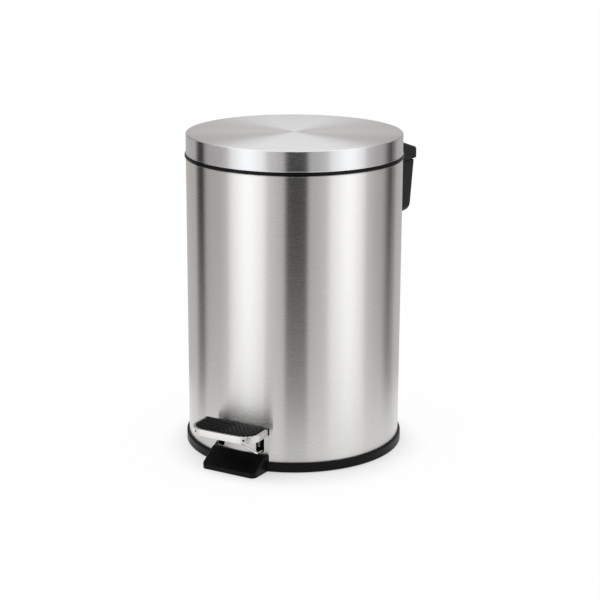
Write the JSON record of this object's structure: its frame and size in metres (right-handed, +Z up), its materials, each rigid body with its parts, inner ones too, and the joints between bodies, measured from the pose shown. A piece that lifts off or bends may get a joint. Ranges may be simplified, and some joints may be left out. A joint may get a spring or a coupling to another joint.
{
  "type": "pedal trash can",
  "caption": "Round brushed-steel pedal bin on a black base, with a rubber-topped pedal that lifts a rear-hinged lid through a push rod, and a lift-out inner bucket.",
  "frame": {"origin": "on the floor under the middle of the round body", "axes": "+Z up along the body, -Y towards the pedal, +Y towards the lid hinge, +X to the right seen from the pedal side"},
  "size_m": [0.256, 0.3416, 0.3692],
  "materials": {
    "brushed_steel": "fine brushing around the body, circular brushing on the lid",
    "polished_steel": "polished sheet",
    "black_plastic": "fine moulded grain, satin",
    "bucket_plastic": "moulded, satin",
    "bearing_plastic": "natural acetal",
    "black_rubber": "matt moulded rubber",
    "plated_steel": "zinc plated",
    "steel_wire": "drawn bright wire"
  },
  "bodies": {
    "can": {"base_tray": "black_plastic", "rubber_feet": "black_rubber", "lever_stop": "black_rubber", "outer_shell": "brushed_steel", "rim_ring": "black_plastic", "inner_bucket": "bucket_plastic", "bucket_bail": "steel_wire", "bail_grip": "black_plastic", "hinge_housing": "black_plastic", "hinge_pin": "plated_steel", "housing_screws": "plated_steel", "pedal_axle": "plated_steel", "axle_clips": "plated_steel", "pedal_spring": "steel_wire", "rod_guide": "bearing_plastic"},
    "pedal": {"pedal_lever": "plated_steel", "lever_bushes": "bearing_plastic", "rod_pin": "plated_steel", "pedal_core": "black_plastic", "pedal_cover": "polished_steel", "pedal_pad": "black_rubber", "pedal_rivets": "plated_steel"},
    "rod": {"push_rod": "plated_steel", "rod_shoe": "bearing_plastic", "rod_nut": "plated_steel"},
    "lid": {"lid_shell": "brushed_steel", "lid_liner": "black_plastic", "lid_hinge_cover": "black_plastic", "lid_crank": "bearing_plastic", "crank_screws": "plated_steel", "lid_screws": "plated_steel", "lid_bumpers": "black_rubber"}
  },
  "joints": [
    {"name": "lid_hinge", "type": "hinge", "parent": "can", "child": "lid", "pos_m": [0, 0.1645, 0.319], "axis": [-1, 0, 0], "range_deg": [0, 75]},
    {"name": "pedal_pivot", "type": "hinge", "parent": "can", "child": "pedal", "pos_m": [0, -0.016, 0.032], "axis": [1, 0, 0], "range_deg": [0, 9.25], "stiffness_Nm_per_rad": 2, "deforming": ["pedal_spring"]},
    {"name": "rod_pivot", "type": "hinge", "parent": "pedal", "child": "rod", "pos_m": [0, 0.1175, 0.02125], "axis": [1, 0, 0], "range_deg": [-9.25, 0]}
  ],
  "couplings": [
    {"joint": "pedal_pivot", "follows": "lid_hinge", "ratio": 0.12316},
    {"joint": "rod_pivot", "follows": "lid_hinge", "ratio": -0.12316}
  ]
}
